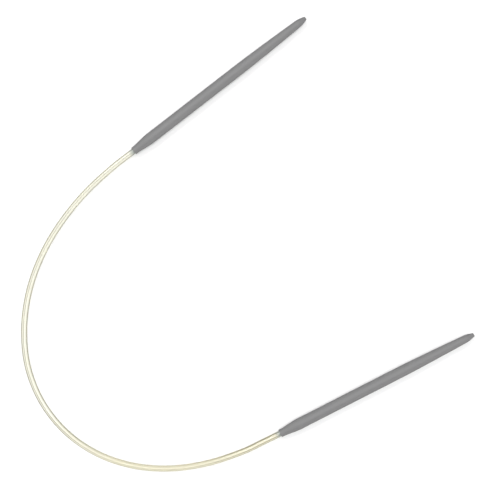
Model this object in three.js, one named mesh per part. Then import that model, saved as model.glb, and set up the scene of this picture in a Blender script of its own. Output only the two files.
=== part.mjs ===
// A fixed circular knitting needle, lying on a table with its two points facing +X.
//
// Two coated aluminium tips are joined by one hollow nylon cable. The cable end of each tip is
// bored, the cable sits in the bore, and a short steel pin fills the cable's own bore there, so
// that the swaged collar can grip it. The cable is one piece on the real needle. Here it is a row
// of spans, because it bends, and a hinge stands between each two spans.
//
// Millimetres. +X is the way the points face, +Y runs across the open loop, and +Z is up. The
// table is z = 0, and the origin is under the middle of the two tips and their pins.

import * as THREE from 'three';

// Tips: US 7, 4.5 mm across the barrel. Each curved stretch of their outline has PROFILE_STEPS.
const TIP_LENGTH = 87;
const TIP_SIDES = 24;
const PROFILE_STEPS = 8;
const BARREL_RADIUS = 2.25;
const BORE_RADIUS = 1.37;
const BORE_DEPTH = 11;

// The shank: a short collar that opens out to the barrel along an S-shaped curve, which leaves
// the collar and meets the barrel level with the axis. Each curve's handle ends at its distance.
const COLLAR_RADIUS = 1.6;
const COLLAR_LENGTH = 0.6;
const FLARE_FIRST_HANDLE = 2.6;
const FLARE_LAST_HANDLE = 5.9;
const FLARE_END = 8.6;

// The nose narrows by a power curve, and the point rounds it off to a small flat.
const NOSE_START = 53;
const NOSE_END = 83.4;
const NOSE_RADIUS = 1.54;
const NOSE_POWER = 1.45;
const POINT_HANDLE = 84.4;
const POINT_HANDLE_RADIUS = 1.48;
const POINT_FLAT_RADIUS = 0.7;

// How each tip lies: where the mouth of its bore is, and its turn from +X.
const TIP_TURN = THREE.MathUtils.degToRad(5.35);
const TIP_AXIS_HEIGHT = BARREL_RADIUS * Math.cos(Math.PI / TIP_SIDES);
const MOUTH_A = new THREE.Vector3(-37.0, 63.4, TIP_AXIS_HEIGHT);
const MOUTH_B = new THREE.Vector3(-48.0, -63.4, TIP_AXIS_HEIGHT);

// Cable: a hollow nylon tube, held by its ends in the two bores.
const CABLE_RADIUS = 1.2;
const CABLE_BORE_RADIUS = 0.65;
const CABLE_SIDES = 8;
const CABLE_IN_TIP = 10;
const SPAN_COUNT = 8;
const SPAN_STEP = 5;
const HINGE_GAP = 0.9;

// The free cable's centreline from one mouth to the other. It leaves each tip level with the
// tip's axis, and comes down to lie on the table around the loop.
const CABLE_ROUTE = [
  MOUTH_A,
  new THREE.Vector3(-47.4, 62.4, 2.2),
  new THREE.Vector3(-62.4, 59.65, 1.95),
  new THREE.Vector3(-77.0, 54.8, 1.6),
  new THREE.Vector3(-90.6, 47.8, 1.33),
  new THREE.Vector3(-102.6, 38.4, 1.22),
  new THREE.Vector3(-112.4, 26.6, 1.21),
  new THREE.Vector3(-119.2, 13.0, 1.21),
  new THREE.Vector3(-121.9, -1.9, 1.21),
  new THREE.Vector3(-120.2, -17.1, 1.21),
  new THREE.Vector3(-114.2, -31.1, 1.21),
  new THREE.Vector3(-104.6, -42.9, 1.22),
  new THREE.Vector3(-92.4, -51.9, 1.33),
  new THREE.Vector3(-78.3, -58.1, 1.6),
  new THREE.Vector3(-63.3, -61.7, 1.95),
  new THREE.Vector3(-56.1, -62.52, 2.13),
  MOUTH_B,
];

// Steel pins inside the cable's ends.
const PIN_RADIUS = 0.5;
const PIN_CHAMFER = 0.15;
const PIN_IN_TIP = 9.6;
const PIN_OUT_OF_TIP = 1.6;
const PIN_SIDES = 12;

const coatedAluminium = () =>
  new THREE.MeshStandardMaterial({ color: 0x909090, roughness: 0.5, metalness: 0.6 });
const ivoryNylon = () =>
  new THREE.MeshStandardMaterial({ color: 0xddd6b0, roughness: 0.3, metalness: 0 });
const plainSteel = () =>
  new THREE.MeshStandardMaterial({ color: 0x8d939c, roughness: 0.35, metalness: 1 });

const needle = new THREE.Group();

function addPiece(name, geometry, material, parent = needle) {
  const mesh = new THREE.Mesh(geometry, material);
  mesh.name = name;
  parent.add(mesh);
  return mesh;
}

// A group at the mouth of a tip's bore, with +X running up the tip to its point.
function tipFrame(mouth, turn) {
  const frame = new THREE.Group();
  frame.position.copy(mouth);
  frame.rotation.z = turn;
  needle.add(frame);
  return frame;
}

// Turns a profile of (radius, distance along the axis) into a solid along +X, with one of its
// flats facing straight down.
function turned(profile, sides) {
  const geometry = new THREE.LatheGeometry(profile, sides, Math.PI / sides);
  geometry.rotateZ(-Math.PI / 2);
  return geometry;
}

// The swaged shank: a thin collar that opens out to the barrel.
function shankProfile() {
  const flare = new THREE.CubicBezierCurve(
    new THREE.Vector2(COLLAR_RADIUS, COLLAR_LENGTH),
    new THREE.Vector2(COLLAR_RADIUS, FLARE_FIRST_HANDLE),
    new THREE.Vector2(BARREL_RADIUS, FLARE_LAST_HANDLE),
    new THREE.Vector2(BARREL_RADIUS, FLARE_END),
  );
  return [new THREE.Vector2(COLLAR_RADIUS, 0), ...flare.getPoints(PROFILE_STEPS)];
}

// The long nose: it narrows slowly at first, then faster, to the start of the rounded point.
function noseProfile() {
  const points = [];
  for (let i = 0; i <= PROFILE_STEPS; i++) {
    const share = i / PROFILE_STEPS;
    const radius = BARREL_RADIUS - (BARREL_RADIUS - NOSE_RADIUS) * share ** NOSE_POWER;
    points.push(new THREE.Vector2(radius, THREE.MathUtils.lerp(NOSE_START, NOSE_END, share)));
  }
  return points;
}

// The rounded point, which ends in a small flat.
function pointProfile() {
  const rounding = new THREE.QuadraticBezierCurve(
    new THREE.Vector2(NOSE_RADIUS, NOSE_END),
    new THREE.Vector2(POINT_HANDLE_RADIUS, POINT_HANDLE),
    new THREE.Vector2(POINT_FLAT_RADIUS, TIP_LENGTH),
  );
  return [...rounding.getPoints(PROFILE_STEPS).slice(1), new THREE.Vector2(0, TIP_LENGTH)];
}

function addTip(name, frame) {
  const bore = [
    new THREE.Vector2(0, BORE_DEPTH),
    new THREE.Vector2(BORE_RADIUS, BORE_DEPTH),
    new THREE.Vector2(BORE_RADIUS, 0),
  ];
  const profile = [...bore, ...shankProfile(), ...noseProfile(), ...pointProfile()];
  addPiece(name, turned(profile, TIP_SIDES), coatedAluminium(), frame);
}

function addCorePin(name, frame) {
  const profile = [
    new THREE.Vector2(0, -PIN_OUT_OF_TIP),
    new THREE.Vector2(PIN_RADIUS - PIN_CHAMFER, -PIN_OUT_OF_TIP),
    new THREE.Vector2(PIN_RADIUS, PIN_CHAMFER - PIN_OUT_OF_TIP),
    new THREE.Vector2(PIN_RADIUS, PIN_IN_TIP - PIN_CHAMFER),
    new THREE.Vector2(PIN_RADIUS - PIN_CHAMFER, PIN_IN_TIP),
    new THREE.Vector2(0, PIN_IN_TIP),
  ];
  addPiece(name, turned(profile, PIN_SIDES), plainSteel(), frame);
}

// A stretch of a longer curve, between two distances along it.
class Stretch extends THREE.Curve {
  constructor(whole, from, to) {
    super();
    this.whole = whole;
    this.from = from / whole.getLength();
    this.to = to / whole.getLength();
  }
  getPoint(share, target = new THREE.Vector3()) {
    return this.whole.getPointAt(THREE.MathUtils.lerp(this.from, this.to, share), target);
  }
}

function circle(radius, sides, Kind) {
  const outline = new Kind();
  for (let i = 0; i < sides; i++) {
    const angle = (i / sides) * 2 * Math.PI;
    const x = radius * Math.cos(angle);
    const y = radius * Math.sin(angle);
    if (i === 0) {
      outline.moveTo(x, y);
    } else {
      outline.lineTo(x, y);
    }
  }
  outline.closePath();
  return outline;
}

function tubeAlong(path) {
  const section = circle(CABLE_RADIUS, CABLE_SIDES, THREE.Shape);
  section.holes.push(circle(CABLE_BORE_RADIUS, CABLE_SIDES, THREE.Path));
  const steps = Math.round(path.getLength() / SPAN_STEP);
  return new THREE.ExtrudeGeometry(section, { steps, extrudePath: path });
}

// Straight into a tip's bore from its mouth.
function insideTip(mouth, turn, depth) {
  const inwards = new THREE.Vector3(Math.cos(turn), Math.sin(turn), 0);
  return mouth.clone().addScaledVector(inwards, depth);
}

// The cable is cut at a hinge in the middle of each zone, and the zones share the free length
// equally. The first and last spans run on into the tips.
function addCable() {
  const whole = new THREE.CatmullRomCurve3([
    insideTip(MOUTH_A, TIP_TURN, CABLE_IN_TIP),
    ...CABLE_ROUTE,
    insideTip(MOUTH_B, -TIP_TURN, CABLE_IN_TIP),
  ]);
  whole.arcLengthDivisions = 4000;
  const total = whole.getLength();
  const hingeCount = SPAN_COUNT - 1;
  const zone = (total - 2 * CABLE_IN_TIP) / hingeCount;
  for (let i = 0; i < SPAN_COUNT; i++) {
    const start = i === 0 ? 0 : CABLE_IN_TIP + (i - 0.5) * zone + HINGE_GAP / 2;
    const end = i === hingeCount ? total : CABLE_IN_TIP + (i + 0.5) * zone - HINGE_GAP / 2;
    addPiece(`cable_span_${i + 1}`, tubeAlong(new Stretch(whole, start, end)), ivoryNylon());
  }
}

const frameA = tipFrame(MOUTH_A, TIP_TURN);
const frameB = tipFrame(MOUTH_B, -TIP_TURN);
addTip('tip_a', frameA);
addTip('tip_b', frameB);
addCorePin('core_pin_a', frameA);
addCorePin('core_pin_b', frameB);
addCable();

export default needle;
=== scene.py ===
"""The looks of a circular knitting needle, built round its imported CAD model.

Two coated aluminium tips, a hollow ivory nylon cable between them, and a steel pin in each end
of the cable. Metres, in the CAD model's own frame: +X is the way the points face, and +Z is up.
"""

import bisect
import math

import bmesh
import bpy
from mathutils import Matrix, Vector


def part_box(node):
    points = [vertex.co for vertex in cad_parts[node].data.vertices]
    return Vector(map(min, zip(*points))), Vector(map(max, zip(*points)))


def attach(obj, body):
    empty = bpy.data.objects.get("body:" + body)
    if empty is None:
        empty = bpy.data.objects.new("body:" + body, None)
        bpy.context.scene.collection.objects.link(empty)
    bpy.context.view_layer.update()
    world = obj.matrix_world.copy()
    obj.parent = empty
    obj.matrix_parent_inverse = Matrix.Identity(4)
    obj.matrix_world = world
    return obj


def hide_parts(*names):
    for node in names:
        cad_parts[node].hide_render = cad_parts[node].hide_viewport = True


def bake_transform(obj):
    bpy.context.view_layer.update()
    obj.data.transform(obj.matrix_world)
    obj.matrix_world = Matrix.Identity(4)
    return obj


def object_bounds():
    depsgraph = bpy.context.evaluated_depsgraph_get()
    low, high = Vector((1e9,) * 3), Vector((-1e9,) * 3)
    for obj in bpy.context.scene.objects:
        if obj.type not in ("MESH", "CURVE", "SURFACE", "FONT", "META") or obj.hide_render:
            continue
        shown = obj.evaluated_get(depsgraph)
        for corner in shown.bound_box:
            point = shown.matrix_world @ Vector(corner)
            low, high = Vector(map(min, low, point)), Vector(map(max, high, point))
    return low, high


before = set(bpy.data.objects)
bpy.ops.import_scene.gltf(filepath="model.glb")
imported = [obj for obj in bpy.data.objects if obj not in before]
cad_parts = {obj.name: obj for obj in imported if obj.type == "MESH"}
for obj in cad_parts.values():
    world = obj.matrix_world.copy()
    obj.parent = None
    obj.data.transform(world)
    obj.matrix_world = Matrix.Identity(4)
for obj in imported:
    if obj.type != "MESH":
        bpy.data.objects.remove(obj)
cad_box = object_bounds()

MM = 0.001
UP = Vector((0, 0, 1))
FULL_TURN = 2 * math.pi

# The tips lie level, so their axes are half way up their boxes.
AXIS_HEIGHT = (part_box("tip_a")[0].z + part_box("tip_a")[1].z) / 2

# Tips, as the CAD model has them. Distances run from the mouth of the bore to the point.
TIP_TURN = math.radians(5.35)
TIP_LENGTH = 87 * MM
BARREL_RADIUS = 2.25 * MM
BORE_RADIUS = 1.37 * MM
BORE_DEPTH = 11 * MM
COLLAR_RADIUS = 1.6 * MM
COLLAR_LENGTH = 0.6 * MM
FLARE_FIRST_HANDLE = 2.6 * MM
FLARE_LAST_HANDLE = 5.9 * MM
FLARE_END = 8.6 * MM
NOSE_START = 53 * MM
NOSE_END = 83.4 * MM
NOSE_RADIUS = 1.54 * MM
NOSE_POWER = 1.45
POINT_HANDLE = 84.4 * MM
POINT_HANDLE_RADIUS = 1.48 * MM
POINT_FLAT_RADIUS = 0.7 * MM
MOUTH_A = Vector((-0.0370, 0.0634, AXIS_HEIGHT))
MOUTH_B = Vector((-0.0480, -0.0634, AXIS_HEIGHT))

# How finely a tip is turned: faces round it, and rings along each stretch of its outline.
TIP_SIDES = 72
LIP_STEPS = 8
FLARE_STEPS = 28
BARREL_STEPS = 22
NOSE_STEPS = 30
POINT_STEPS = 14
EDGE_STEPS = 4
SHARP_ANGLE = math.radians(40)

# Finish of the tips that the CAD model leaves out.
BULGE_HEIGHT = 0.03 * MM
BULGE_PLACE = 8.1 * MM
BULGE_WIDTH = 1.1 * MM
SWAGE_MARKS = 8
SWAGE_DEPTH = 0.022 * MM
SWAGE_FROM = 0.9 * MM
SWAGE_TO = 7.4 * MM
POINT_EDGE = 0.12 * MM

# Cable.
CABLE_RADIUS = 1.2 * MM
CABLE_BORE_RADIUS = 0.65 * MM
CABLE_SIDES = 36
CABLE_IN_TIP = 10 * MM
RING_STEP = 0.7 * MM
ROUTE_STEPS = 200

# Painted shade in the nylon: darker bands along both sides, where the sides of a clear tube look
# dark, a dark line near the middle, and grey near each mouth for the steel pin seen through the
# nylon and the tip's shade. The bands and the line are fainter over one stretch. The bands are
# shifted across, so that one side is painted darker, and change sides between CHANGE_FROM and
# CHANGE_TO of the free length. From there on the nylon is more ivory.
EDGE_SHADE_FROM = 0.72 * MM
EDGE_SHADE_TO = 0.92 * MM
EDGE_SHADE_SHARE = 0.65
EDGE_SHADE_SHIFT = 0.12 * MM
CHANGE_FROM = 0.55
CHANGE_TO = 0.7
MIDDLE_SHADE_AT_A = -0.12 * MM
MIDDLE_SHADE_AT_B = 0.38 * MM
MIDDLE_SHADE_WIDTH = 0.22 * MM
MIDDLE_SHADE_SHARE = 0.75
FAINT_STRETCH_PLACE = 0.76
FAINT_STRETCH_CORE = 15 * MM
FAINT_STRETCH_REACH = 40 * MM
FAINT_STRETCH_FADE = 0.75
PIN_AND_SHADE_REACH = 2.4 * MM

# Steel pins.
PIN_RADIUS = 0.5 * MM
PIN_CHAMFER = 0.15 * MM
PIN_IN_TIP = 9.6 * MM
PIN_OUT_OF_TIP = 1.6 * MM
PIN_SIDES = 32

# Noise in the materials: its scale per metre along each axis, how much fine detail it has, and
# the range of its values over which something changes.
CLOUD_SCALE = (300, 300, 90)
CLOUD_DETAIL = 2.0
CLOUD_RANGE = (0.35, 0.65)
STREAK_SCALE = (2600, 2600, 60)
STREAK_DETAIL = 3.0
STREAK_COLOUR_RANGE = (0.5, 0.75)
STREAK_SHARE = 0.4
MOTTLE_SCALE = (350, 350, 350)
MOTTLE_DETAIL = 4.0
TURNING_SCALE = (9000, 250, 250)
TURNING_DETAIL = 3.0
GRAIN_SCALE = (300, 4000, 4000)
GRAIN_DETAIL = 3.0
MOST_NOISE = (0.3, 0.7)

# Surfaces: the least and most roughness of each, and the relief of the metal ones.
NYLON_ROUGHNESS = (0.1, 0.18)
COATING_ROUGHNESS = (0.6, 0.7)
STEEL_ROUGHNESS = (0.3, 0.45)
BUMP_HEIGHT = 0.01 * MM
BUMP_STRENGTH = 0.3
LIGHT_THROUGH_NYLON = 0.6

# Colours, as linear red, green, blue and alpha.
CLEAR_NYLON = (0.95, 0.945, 0.87, 1)
PALE_NYLON = (0.97, 0.97, 0.92, 1)
IVORY_NYLON = (0.83, 0.8, 0.67, 1)
# The colour of the painted shade in the nylon.
NYLON_SHADE_COLOUR = (0.14, 0.13, 0.06, 1)
STREAK_IN_NYLON = (0.66, 0.64, 0.5, 1)
# Painted grey near the mouths, for the pins seen through the nylon and the tips' shade.
PIN_AND_SHADE_IN_NYLON = (0.36, 0.4, 0.4, 1)
NYLON_COAT = (0.93, 0.925, 0.885, 1)
DARK_COATING = (0.195, 0.195, 0.197, 1)
LIGHT_COATING = (0.225, 0.225, 0.225, 1)
COATING_SHINE = (0.2, 0.2, 0.2, 1)
DARK_STEEL = (0.2, 0.22, 0.25, 1)
LIGHT_STEEL = (0.36, 0.39, 0.43, 1)
FLOOR_COLOUR = (0.86, 0.86, 0.86, 1)
HORIZON_COLOUR = (1, 1, 1, 1)
OVERHEAD_COLOUR = (0.45, 0.45, 0.45, 1)

# The free cable's centreline from mouth to mouth, as in the CAD model.
CABLE_ROUTE = [
    MOUTH_A,
    Vector((-0.0474, 0.0624, 0.0022)),
    Vector((-0.0624, 0.05965, 0.00195)),
    Vector((-0.0770, 0.0548, 0.0016)),
    Vector((-0.0906, 0.0478, 0.00133)),
    Vector((-0.1026, 0.0384, 0.00122)),
    Vector((-0.1124, 0.0266, 0.00121)),
    Vector((-0.1192, 0.0130, 0.00121)),
    Vector((-0.1219, -0.0019, 0.00121)),
    Vector((-0.1202, -0.0171, 0.00121)),
    Vector((-0.1142, -0.0311, 0.00121)),
    Vector((-0.1046, -0.0429, 0.00122)),
    Vector((-0.0924, -0.0519, 0.00133)),
    Vector((-0.0783, -0.0581, 0.0016)),
    Vector((-0.0633, -0.0617, 0.00195)),
    Vector((-0.0561, -0.06252, 0.00213)),
    MOUTH_B,
]

# The bodies along the cable, from tip A to tip B. One length of cable is made for each two
# neighbours.
BODIES_ALONG = [
    "tip_a",
    "cable_a_outer",
    "cable_a_inner",
    "cable_middle",
    "cable_b_inner",
    "cable_b_middle",
    "cable_b_outer",
    "tip_b",
]

# Camera: straight above, turned so that the points face up and to the right. The offset is
# from the middle of the CAD model.
PICTURE_WIDTH = 0.2
PICTURE_TURN = math.radians(-32.4)
PICTURE_OFFSET = Vector((0.01785, 0.00506, 0))
LENS_MM = 100
SENSOR_MM = 36

# The studio. The world's light changes from the horizon's to the overhead one between two
# heights, where 0 is level and 1 is straight up.
FLOOR_REACH = 1.2
LIGHT_DISTANCE = 3.0
HORIZON_TO = 0.2
OVERHEAD_FROM = 0.8


def make_camera():
    """Looks straight down, so that PICTURE_WIDTH fills the picture at the height of the tips."""
    data = bpy.data.cameras.new("camera")
    data.lens = LENS_MM
    data.sensor_width = SENSOR_MM
    camera = bpy.data.objects.new("camera", data)
    bpy.context.scene.collection.objects.link(camera)
    middle = (cad_box[0] + cad_box[1]) / 2 + PICTURE_OFFSET
    distance = PICTURE_WIDTH * LENS_MM / SENSOR_MM
    camera.location = (middle.x, middle.y, AXIS_HEIGHT + distance)
    camera.rotation_euler = (0, 0, PICTURE_TURN)
    bpy.context.scene.camera = camera


# Meshes


def add_object(name, points, faces):
    """An object with this mesh, in the scene."""
    mesh = bpy.data.meshes.new(name)
    mesh.from_pydata(points, [], faces)
    made = bpy.data.objects.new(name, mesh)
    bpy.context.scene.collection.objects.link(made)
    return made


def add_solid(name, points, faces):
    """A closed object, smooth except at sharp edges, with all its faces pointing out."""
    made = add_object(name, points, faces)
    solid = bmesh.new()
    solid.from_mesh(made.data)
    bmesh.ops.recalc_face_normals(solid, faces=solid.faces)
    solid.to_mesh(made.data)
    solid.free()
    made.data.polygons.foreach_set("use_smooth", [True] * len(faces))
    made.data.set_sharp_from_angle(angle=SHARP_ANGLE)
    return made


def around(sides):
    """Each corner of a ring with the next one."""
    return [(j, (j + 1) % sides) for j in range(sides)]


def tube_faces(first, step, rings, sides):
    """Four-sided faces round a tube. Ring i starts at point first + i * step."""
    faces = []
    for low in range(first, first + (rings - 1) * step, step):
        faces += [(low + j, low + k, low + step + k, low + step + j) for j, k in around(sides)]
    return faces


def bezier(corners, steps):
    """Points on the Bezier curve with these corners, without its first one."""
    curve = []
    for i in range(1, steps + 1):
        level = [Vector(corner) for corner in corners]
        while len(level) > 1:
            level = [a.lerp(b, i / steps) for a, b in zip(level, level[1:])]
        curve.append(tuple(level[0]))
    return curve


def unchanged(distance, angle):
    return 0


def turned(name, profile, sides, change=unchanged):
    """A solid turned round +X from an outline that starts and ends on the axis.

    The outline is a list of (distance, radius), and change(distance, angle) adds to the radius.
    """
    points = [(profile[0][0], 0, 0)]
    for distance, radius in profile[1:-1]:
        for i in range(sides):
            angle = FULL_TURN * i / sides
            r = radius + change(distance, angle)
            points.append((distance, r * math.cos(angle), r * math.sin(angle)))
    points.append((profile[-1][0], 0, 0))
    last = len(points) - 1
    faces = tube_faces(1, sides, len(profile) - 2, sides)
    faces += [(0, 1 + j, 1 + k) for j, k in around(sides)]
    faces += [(last, last - sides + k, last - sides + j) for j, k in around(sides)]
    return add_solid(name, points, faces)


# The cable


def catmull_rom(points, steps):
    """Points along the centripetal Catmull-Rom curve through points, steps to each stretch."""
    points = [2 * points[0] - points[1], *points, 2 * points[-1] - points[-2]]
    curve = []
    for p0, p1, p2, p3 in zip(points, points[1:], points[2:], points[3:]):
        t0, t1, t2 = [math.sqrt((b - a).length) for a, b in ((p0, p1), (p1, p2), (p2, p3))]
        leave = ((p1 - p0) / t0 - (p2 - p0) / (t0 + t1) + (p2 - p1) / t1) * t1
        arrive = ((p2 - p1) / t1 - (p3 - p1) / (t1 + t2) + (p3 - p2) / t2) * t1
        for i in range(steps):
            u = i / steps
            square = (3 * (p2 - p1) - 2 * leave - arrive) * u**2
            cube = (2 * (p1 - p2) + leave + arrive) * u**3
            curve.append(p1 + leave * u + square + cube)
    return [*curve, points[-2]]


class Route:
    """The cable's centreline. Distances are from the mouth of tip A, and below 0 inside it."""

    def __init__(self, points, before):
        self.points = points
        self.distances = [-before]
        for a, b in zip(points, points[1:]):
            self.distances.append(self.distances[-1] + (b - a).length)

    def at(self, distance):
        """The place and the direction of the centreline at a distance."""
        last = len(self.points) - 2
        i = min(max(bisect.bisect_right(self.distances, distance) - 1, 0), last)
        a, b = self.points[i], self.points[i + 1]
        share = (distance - self.distances[i]) / (self.distances[i + 1] - self.distances[i])
        return a.lerp(b, share), (b - a).normalized()


def tip_direction(turn):
    return Vector((math.cos(turn), math.sin(turn), 0))


def cable_route():
    inside_a = MOUTH_A + tip_direction(TIP_TURN) * CABLE_IN_TIP
    inside_b = MOUTH_B + tip_direction(-TIP_TURN) * CABLE_IN_TIP
    return Route(catmull_rom([inside_a, *CABLE_ROUTE, inside_b], ROUTE_STEPS), CABLE_IN_TIP)


def ring(radius, sides):
    """Points round a circle, as (across, up)."""
    angles = [FULL_TURN * i / sides for i in range(sides)]
    return [(radius * math.cos(a), radius * math.sin(a)) for a in angles]


def cable_rings(route, distances):
    """Centres of the rings at these distances, their points, and their points laid straight.

    A point laid straight is (across, above, distance along the cable from the mouth of tip A).
    """
    section = ring(CABLE_RADIUS, CABLE_SIDES) + ring(CABLE_BORE_RADIUS, CABLE_SIDES)
    centres, points, straight = [], [], []
    for distance in distances:
        centre, along = route.at(distance)
        across = along.cross(UP).normalized()
        above = across.cross(along)
        centres.append(centre)
        points += [centre + across * x + above * y for x, y in section]
        straight += [(x, y, distance) for x, y in section]
    return centres, points, straight


def cable_faces(rings):
    """Faces of the tube's two walls, then of its two ends."""
    step = 2 * CABLE_SIDES
    outer = tube_faces(0, step, rings, CABLE_SIDES)
    bore = tube_faces(CABLE_SIDES, step, rings, CABLE_SIDES)
    near_end = [(j, j + CABLE_SIDES, k + CABLE_SIDES, k) for j, k in around(CABLE_SIDES)]
    far_end = [[(rings - 1) * step + i for i in face] for face in near_end]
    return outer + bore, near_end + far_end


def cable_length(name, route, start, end, open_start, open_end):
    """A length of the hollow cable. An open end is one that carries on into its neighbour."""
    steps = round((end - start) / RING_STEP)
    distances = [start + (end - start) * i / steps for i in range(steps + 1)]
    centres, points, straight = cable_rings(route, distances)
    walls, ends = cable_faces(len(distances))
    made = add_solid(name, points, walls + ends)
    attribute = made.data.attributes.new("straight", "FLOAT_VECTOR", "POINT")
    attribute.data.foreach_set("vector", [value for point in straight for value in point])
    made.data.materials.append(ivory_nylon)
    made.data.materials.append(joining_face)
    slots = [0] * len(walls) + [int(open_start)] * CABLE_SIDES + [int(open_end)] * CABLE_SIDES
    made.data.polygons.foreach_set("material_index", slots)
    return made, centres


def lay_cable(route):
    """Seven lengths of cable, one after another, with their ends on each other."""
    count = len(BODIES_ALONG) - 1
    zone = free_length(route) / count
    for i in range(count):
        start, end = i * zone, (i + 1) * zone
        first, last = i == 0, i == count - 1
        reach_from = start - CABLE_IN_TIP if first else start
        reach_to = end + CABLE_IN_TIP if last else end
        name = f"cable_{i + 1}"
        piece, centres = cable_length(name, route, reach_from, reach_to, not first, not last)
        route.at(start)[0]
        route.at(end)[0]
        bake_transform(piece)
        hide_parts(f"cable_span_{i + 1}", f"cable_span_{i + 2}")
        route.at(start)[0]


def free_length(route):
    """The cable's length from mouth to mouth."""
    return route.distances[-1] - CABLE_IN_TIP


# Tips and pins


def mouth_profile():
    """From the bottom of the bore, on the axis, to the mouth and round its lip."""
    lip = (COLLAR_RADIUS - BORE_RADIUS) / 2
    profile = [(BORE_DEPTH, 0), (BORE_DEPTH, BORE_RADIUS)]
    for i in range(LIP_STEPS + 1):
        angle = math.pi * i / LIP_STEPS
        out = lip - lip * math.sin(angle)
        profile.append((out, BORE_RADIUS + lip - lip * math.cos(angle)))
    return profile


def shank_profile():
    """The collar, and the flare that opens out to the barrel."""
    flare = bezier([(COLLAR_LENGTH, COLLAR_RADIUS), (FLARE_FIRST_HANDLE, COLLAR_RADIUS),
                    (FLARE_LAST_HANDLE, BARREL_RADIUS), (FLARE_END, BARREL_RADIUS)],
                   FLARE_STEPS)
    return [(COLLAR_LENGTH, COLLAR_RADIUS), *flare]


def barrel_profile():
    step = (NOSE_START - FLARE_END) / BARREL_STEPS
    return [(FLARE_END + step * i, BARREL_RADIUS) for i in range(1, BARREL_STEPS + 1)]


def nose_profile():
    """The long nose, which narrows slowly at first, then faster."""
    profile = []
    for i in range(1, NOSE_STEPS + 1):
        share = i / NOSE_STEPS
        radius = BARREL_RADIUS - (BARREL_RADIUS - NOSE_RADIUS) * share**NOSE_POWER
        profile.append((NOSE_START + (NOSE_END - NOSE_START) * share, radius))
    return profile


def point_profile():
    """The rounded point, the softened edge of its small flat, and the flat."""
    edge_start = (TIP_LENGTH - POINT_EDGE / 2, POINT_FLAT_RADIUS + POINT_EDGE / 4)
    rounding = bezier([(NOSE_END, NOSE_RADIUS), (POINT_HANDLE, POINT_HANDLE_RADIUS), edge_start],
                      POINT_STEPS)
    edge = bezier([edge_start, (TIP_LENGTH, POINT_FLAT_RADIUS),
                   (TIP_LENGTH, POINT_FLAT_RADIUS - POINT_EDGE)], EDGE_STEPS)
    return [*rounding, *edge, (TIP_LENGTH, 0)]


def tip_finish(distance, angle):
    """The shoulder's slight bulge, and the shallow marks that the swaging dies left."""
    bulge = BULGE_HEIGHT * math.exp(-((distance - BULGE_PLACE) / BULGE_WIDTH) ** 2)
    share = (distance - SWAGE_FROM) / (SWAGE_TO - SWAGE_FROM)
    if not 0 < share < 1:
        return bulge
    mark = math.sin(math.pi * share) * math.cos(SWAGE_MARKS * angle / 2) ** 2
    return bulge - SWAGE_DEPTH * mark


def place_on_tip(piece, mouth, turn, body):
    """Puts a piece turned round +X in the mouth of a tip's bore, so that it lies along the tip."""
    piece.location = mouth
    piece.rotation_euler = (0, 0, turn)
    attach(piece, body)


def make_tip(side, mouth, turn):
    profile = [*mouth_profile(), *shank_profile(), *barrel_profile(), *nose_profile(),
               *point_profile()]
    tip = turned(f"needle_tip_{side}", profile, TIP_SIDES, tip_finish)
    tip.data.materials.append(coated_aluminium)
    place_on_tip(tip, mouth, turn, f"tip_{side}")
    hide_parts(f"tip_{side}")


def make_pin(side, mouth, turn):
    """A steel pin with a chamfer at each end."""
    profile = [
        (-PIN_OUT_OF_TIP, 0),
        (-PIN_OUT_OF_TIP, PIN_RADIUS - PIN_CHAMFER),
        (PIN_CHAMFER - PIN_OUT_OF_TIP, PIN_RADIUS),
        (PIN_IN_TIP - PIN_CHAMFER, PIN_RADIUS),
        (PIN_IN_TIP, PIN_RADIUS - PIN_CHAMFER),
        (PIN_IN_TIP, 0),
    ]
    pin = turned(f"pin_{side}", profile, PIN_SIDES)
    pin.data.materials.append(steel_core)
    place_on_tip(pin, mouth, turn, f"tip_{side}")
    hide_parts(f"core_pin_{side}")


# Materials


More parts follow.
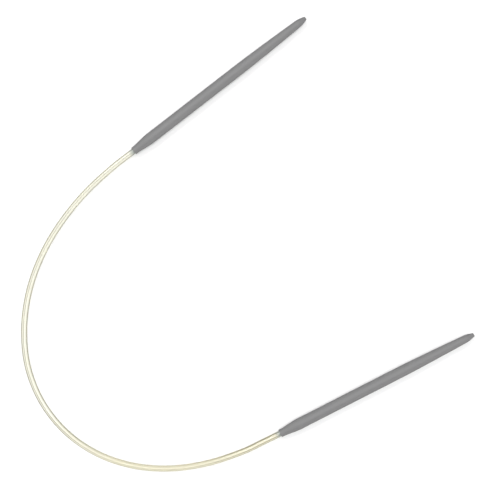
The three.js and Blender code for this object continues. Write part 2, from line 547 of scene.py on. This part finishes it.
class Nodes:
    """A material's node tree, with short calls to add to it."""

    def __init__(self, name):
        self.material = bpy.data.materials.new(name)
        self.material.use_nodes = True
        self.tree = self.material.node_tree
        self.shader = self.tree.nodes["Principled BSDF"]
        self.output = self.tree.nodes["Material Output"]

    def add(self, kind, inputs=(), **settings):
        node = self.tree.nodes.new(kind)
        for name, value in settings.items():
            setattr(node, name, value)
        for name, value in dict(inputs).items():
            self.set(node.inputs[name], value)
        return node

    def set(self, socket, value):
        """Links an output to the socket, or sets the socket to a plain value."""
        if isinstance(value, bpy.types.NodeSocket):
            self.tree.links.new(value, socket)
        else:
            socket.default_value = value

    def noise(self, vector, scale, detail):
        """Noise with a scale per metre of its own along each axis."""
        place = self.add("ShaderNodeMapping", {"Vector": vector, "Scale": scale})
        inputs = {"Vector": place.outputs["Vector"], "Scale": 1.0, "Detail": detail}
        return self.add("ShaderNodeTexNoise", inputs).outputs["Fac"]

    def between(self, value, low, high, to_low, to_high):
        """value, from low..high to to_low..to_high, and no further."""
        inputs = {"Value": value, "From Min": low, "From Max": high,
                  "To Min": to_low, "To Max": to_high}
        return self.add("ShaderNodeMapRange", inputs).outputs["Result"]

    def math(self, operation, *values):
        node = self.add("ShaderNodeMath", operation=operation)
        for socket, value in zip(node.inputs, values):
            self.set(socket, value)
        return node.outputs["Value"]

    def apart(self, a, b):
        """How far a is from b."""
        return self.math("ABSOLUTE", self.math("SUBTRACT", a, b))

    def blend(self, share, a, b):
        """The colour a, with a share of the colour b."""
        node = self.add("ShaderNodeMix", data_type="RGBA")
        # Several of this node's sockets share a name, so they go by their identifiers.
        sockets = {socket.identifier: socket for socket in [*node.inputs, *node.outputs]}
        self.set(sockets["Factor_Float"], share)
        self.set(sockets["A_Color"], a)
        self.set(sockets["B_Color"], b)
        return sockets["Result_Color"]

    def bump(self, height):
        inputs = {"Height": height, "Distance": BUMP_HEIGHT, "Strength": BUMP_STRENGTH}
        return self.add("ShaderNodeBump", inputs).outputs["Normal"]

    def lighten_shadow(self, share):
        """Lets a share of the light through to the shadow, as clear nylon does."""
        shadow = self.add("ShaderNodeLightPath").outputs["Is Shadow Ray"]
        clear = self.add("ShaderNodeBsdfTransparent")
        mix = self.add("ShaderNodeMixShader", {"Fac": self.math("MULTIPLY", shadow, share)})
        self.tree.links.new(self.shader.outputs["BSDF"], mix.inputs[1])
        self.tree.links.new(clear.outputs["BSDF"], mix.inputs[2])
        self.tree.links.new(mix.outputs["Shader"], self.output.inputs["Surface"])

    def surface(self, **values):
        """Sets the shader's inputs, which are named here with _ for each space."""
        for name, value in values.items():
            self.set(self.shader.inputs[name.replace("_", " ")], value)


def nylon_painted_shade(n, across, place, length):
    """The share of painted shade: dark bands along both sides of the tube, and a dark line near
    the middle.

    Both are fainter over one stretch.
    """
    change_from, change_to = CHANGE_FROM * length, CHANGE_TO * length
    # Painted shade: dark bands along both sides of the tube, with their middle shifted across so
    # that one side is darker.
    bore = n.between(place, change_from, change_to, -EDGE_SHADE_SHIFT, EDGE_SHADE_SHIFT)
    walls = n.between(n.apart(across, bore), EDGE_SHADE_FROM, EDGE_SHADE_TO, 0, EDGE_SHADE_SHARE)
    # A painted dark line near the middle of the tube.
    middle_shade_across = n.between(place, 0, length, MIDDLE_SHADE_AT_A, MIDDLE_SHADE_AT_B)
    line = n.between(n.apart(across, middle_shade_across), 0, MIDDLE_SHADE_WIDTH, MIDDLE_SHADE_SHARE, 0)
    # The painted shade is fainter over one stretch of the cable.
    faint_stretch = n.between(n.apart(place, FAINT_STRETCH_PLACE * length), FAINT_STRETCH_CORE, FAINT_STRETCH_REACH, 1, 0)
    shade_kept = n.between(faint_stretch, 0, 1, 1, 1 - FAINT_STRETCH_FADE)
    return n.math("MULTIPLY", n.math("MAXIMUM", walls, line), shade_kept)


def make_ivory_nylon(length):
    """Clear nylon with an ivory tint, faint streaks along it, and painted shade: dark side bands,
    a dark middle line, and grey near each mouth for the steel pins seen through it and the tips'
    shade.
    """
    n = Nodes("ivory_nylon")
    straight = n.add("ShaderNodeAttribute", attribute_name="straight").outputs["Vector"]
    split = n.add("ShaderNodeSeparateXYZ", {"Vector": straight})
    across, place = split.outputs["X"], split.outputs["Z"]
    cloud = n.between(n.noise(straight, CLOUD_SCALE, CLOUD_DETAIL), *CLOUD_RANGE, 0, 1)
    streak = n.noise(straight, STREAK_SCALE, STREAK_DETAIL)
    # Painted shade: dark side bands and a dark middle line.
    painted_shade = nylon_painted_shade(n, across, place, length)
    ivory = n.between(place, CHANGE_FROM * length, CHANGE_TO * length, 0, 1)
    # Painted grey near each mouth, for the steel pin seen through the nylon and the tip's shade.
    pin_and_shade_a = n.between(place, 0, PIN_AND_SHADE_REACH, 1, 0)
    pin_and_shade_b = n.between(place, length - PIN_AND_SHADE_REACH, length, 0, 1)
    tint = n.blend(cloud, CLEAR_NYLON, PALE_NYLON)
    tint = n.blend(ivory, tint, IVORY_NYLON)
    tint = n.blend(painted_shade, tint, NYLON_SHADE_COLOUR)
    streaks = n.between(streak, *STREAK_COLOUR_RANGE, 0, STREAK_SHARE)
    tint = n.blend(streaks, tint, STREAK_IN_NYLON)
    tint = n.blend(n.math("MAXIMUM", pin_and_shade_a, pin_and_shade_b), tint, PIN_AND_SHADE_IN_NYLON)
    n.surface(
        Base_Color=tint,
        Roughness=n.between(streak, *MOST_NOISE, *NYLON_ROUGHNESS),
        IOR=1.53,
        Specular_IOR_Level=0.2,
        Transmission_Weight=0.4,
        Coat_Weight=1.0,
        Coat_IOR=1.05,
        Coat_Roughness=0.15,
        Coat_Tint=NYLON_COAT,
    )
    n.lighten_shadow(LIGHT_THROUGH_NYLON)
    return n.material


def make_joining_face():
    """Clear, because the real cable is one piece, with nothing to see where two lengths meet."""
    n = Nodes("joining_face")
    clear = n.add("ShaderNodeBsdfTransparent")
    n.tree.links.new(clear.outputs["BSDF"], n.output.inputs["Surface"])
    n.tree.nodes.remove(n.shader)
    return n.material


def make_coated_aluminium():
    """Satin grey coating over turned metal. An object's own X runs along the tip."""
    n = Nodes("coated_aluminium")
    place = n.add("ShaderNodeTexCoord").outputs["Object"]
    mottle = n.between(n.noise(place, MOTTLE_SCALE, MOTTLE_DETAIL), *MOST_NOISE, 0, 1)
    turning = n.noise(place, TURNING_SCALE, TURNING_DETAIL)
    n.surface(
        Base_Color=n.blend(mottle, DARK_COATING, LIGHT_COATING),
        Metallic=0.6,
        Specular_Tint=COATING_SHINE,
        Roughness=n.between(mottle, 0, 1, *COATING_ROUGHNESS),
        Normal=n.bump(turning),
    )
    return n.material


def make_steel():
    """Drawn steel wire, with its grain along the pin."""
    n = Nodes("steel_core")
    place = n.add("ShaderNodeTexCoord").outputs["Object"]
    grain = n.noise(place, GRAIN_SCALE, GRAIN_DETAIL)
    n.surface(
        Base_Color=n.blend(grain, DARK_STEEL, LIGHT_STEEL),
        Metallic=1.0,
        Roughness=n.between(grain, *MOST_NOISE, *STEEL_ROUGHNESS),
        Normal=n.bump(grain),
    )
    return n.material


# The studio


def make_floor():
    """A plain pale floor at the height that the needle lies on."""
    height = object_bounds()[0].z
    corners = [(-1, -1), (1, -1), (1, 1), (-1, 1)]
    points = [(x * FLOOR_REACH, y * FLOOR_REACH, height) for x, y in corners]
    floor = add_object("floor", points, [(0, 1, 2, 3)])
    n = Nodes("pale_floor")
    n.surface(Base_Color=FLOOR_COLOUR, Roughness=0.9, Specular_IOR_Level=0.1)
    floor.data.materials.append(n.material)


def add_light(name, size, watts, towards, elevation):
    """A round soft light that faces the needle, from a direction given in degrees."""
    data = bpy.data.lights.new(name, "AREA")
    data.shape = "DISK"
    data.size = size
    data.energy = watts
    light = bpy.data.objects.new(name, data)
    bpy.context.scene.collection.objects.link(light)
    level = tip_direction(math.radians(towards)) * math.cos(math.radians(elevation))
    out = level + UP * math.sin(math.radians(elevation))
    light.location = (cad_box[0] + cad_box[1]) / 2 + out * LIGHT_DISTANCE
    light.rotation_euler = out.to_track_quat("Z", "Y").to_euler()


def light_world():
    """A dim grey overhead that brightens to white towards the horizon."""
    world = bpy.data.worlds.new("studio")
    world.use_nodes = True
    bpy.context.scene.world = world
    nodes, links = world.node_tree.nodes, world.node_tree.links
    place = nodes.new("ShaderNodeTexCoord")
    split = nodes.new("ShaderNodeSeparateXYZ")
    ramp = nodes.new("ShaderNodeValToRGB")
    links.new(place.outputs["Generated"], split.inputs["Vector"])
    links.new(split.outputs["Z"], ramp.inputs["Fac"])
    links.new(ramp.outputs["Color"], nodes["Background"].inputs["Color"])
    horizon, overhead = ramp.color_ramp.elements
    horizon.position = HORIZON_TO
    horizon.color = HORIZON_COLOUR
    overhead.position = OVERHEAD_FROM
    overhead.color = OVERHEAD_COLOUR


def light_studio():
    add_light("overhead", size=1.6, watts=50, towards=0, elevation=86)
    add_light("key", size=0.95, watts=30, towards=95, elevation=50)
    add_light("fill", size=2.5, watts=25, towards=-80, elevation=18)
    light_world()
    bpy.context.scene.view_settings.view_transform = "Standard"


route = cable_route()
ivory_nylon = make_ivory_nylon(free_length(route))
joining_face = make_joining_face()
coated_aluminium = make_coated_aluminium()
steel_core = make_steel()

make_camera()
lay_cable(route)
make_tip("a", MOUTH_A, TIP_TURN)
make_tip("b", MOUTH_B, -TIP_TURN)
make_pin("a", MOUTH_A, TIP_TURN)
make_pin("b", MOUTH_B, -TIP_TURN)
make_floor()
light_studio()
